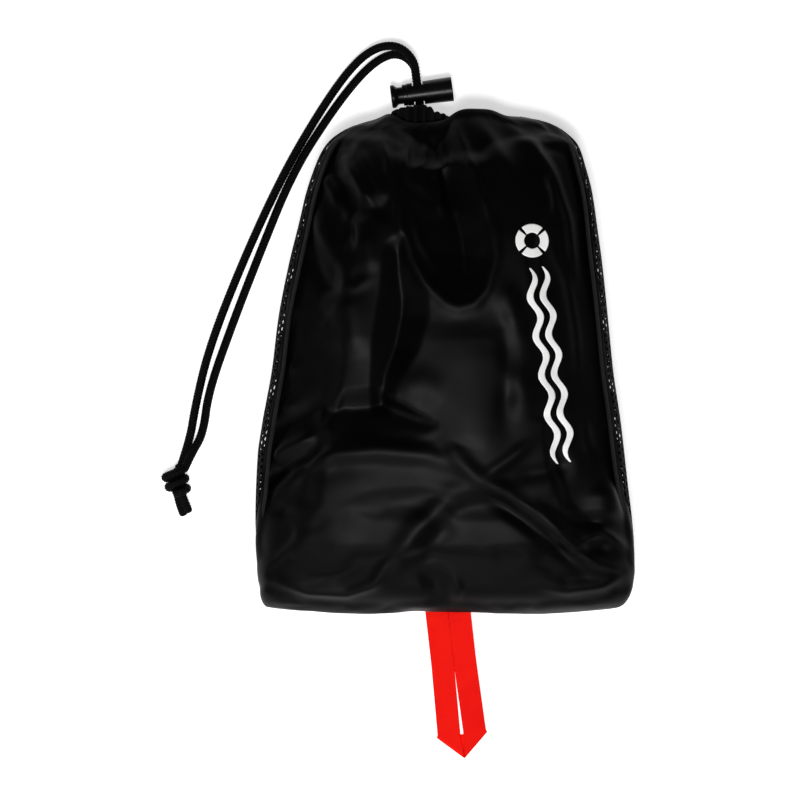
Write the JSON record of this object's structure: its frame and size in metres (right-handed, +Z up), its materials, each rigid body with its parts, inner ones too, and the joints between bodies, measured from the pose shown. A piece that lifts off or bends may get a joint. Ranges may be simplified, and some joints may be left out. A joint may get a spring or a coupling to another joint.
{
  "type": "throw rope bag",
  "caption": "Stuffed drawstring bag for a throw rope: woven front, net back, corded mouth with a sliding barrel lock, folded webbing pull loop at the base, rope packed inside.",
  "frame": {"origin": "middle of the flat underside that the bag lies on", "axes": "+X across the bag, +Y from the closed base towards the drawstring mouth, +Z up through the woven front"},
  "size_m": [0.2131, 0.3246, 0.0523],
  "materials": {
    "woven_fabric": "plain-woven coated nylon with a soft sheen",
    "net_fabric": "knitted open net",
    "binding_tape": "matte woven tape",
    "drawcord": "braided polyester cord",
    "red_webbing": "flat woven polyester tape",
    "thread": "bonded sewing thread",
    "lock_plastic": "moulded acetal, polished",
    "spring_steel": "drawn wire",
    "floating_rope": "braided polypropylene rope",
    "print_white": "flat screen print"
  },
  "bodies": {
    "bag": {"front_panel": "woven_fabric", "mesh_back_panel": "net_fabric", "side_seam_tape_left": "binding_tape", "side_seam_tape_right": "binding_tape", "base_seam_tape": "binding_tape", "drawcord_casing": "woven_fabric", "casing_bar_tacks": "thread", "drawcord_hem_run": "drawcord", "drawcord_outer_strand": "drawcord", "drawcord_inner_strand": "drawcord", "drawcord_knot": "drawcord", "webbing_anchor_tab": "red_webbing", "webbing_bar_tacks": "thread", "throw_rope_bundle": "floating_rope", "rope_hand_loop": "floating_rope", "rope_anchor_knot": "floating_rope"},
    "cord_lock": {"cord_lock_barrel": "lock_plastic", "cord_lock_spring": "spring_steel"},
    "lock_button": {"cord_lock_plunger": "lock_plastic"},
    "webbing_loop": {"pull_loop": "red_webbing"}
  },
  "joints": [
    {"name": "cord_lock_slide", "type": "slide", "parent": "bag", "child": "cord_lock", "axis": [-0.1305, 0.9914, 0], "range_m": [0, 0.007]},
    {"name": "lock_button_press", "type": "slide", "parent": "cord_lock", "child": "lock_button", "axis": [0.9914, 0.1305, 0], "range_m": [0, 0.0022], "stiffness_N_per_m": 1500, "springref_m": -0.002, "deforming": ["cord_lock_spring"]},
    {"name": "pull_loop_fold", "type": "hinge", "parent": "bag", "child": "webbing_loop", "pos_m": [0.0017, -0.1156, 0.005], "axis": [-0.9936, -0.1132, 0], "range_deg": [-90, 90]}
  ]
}
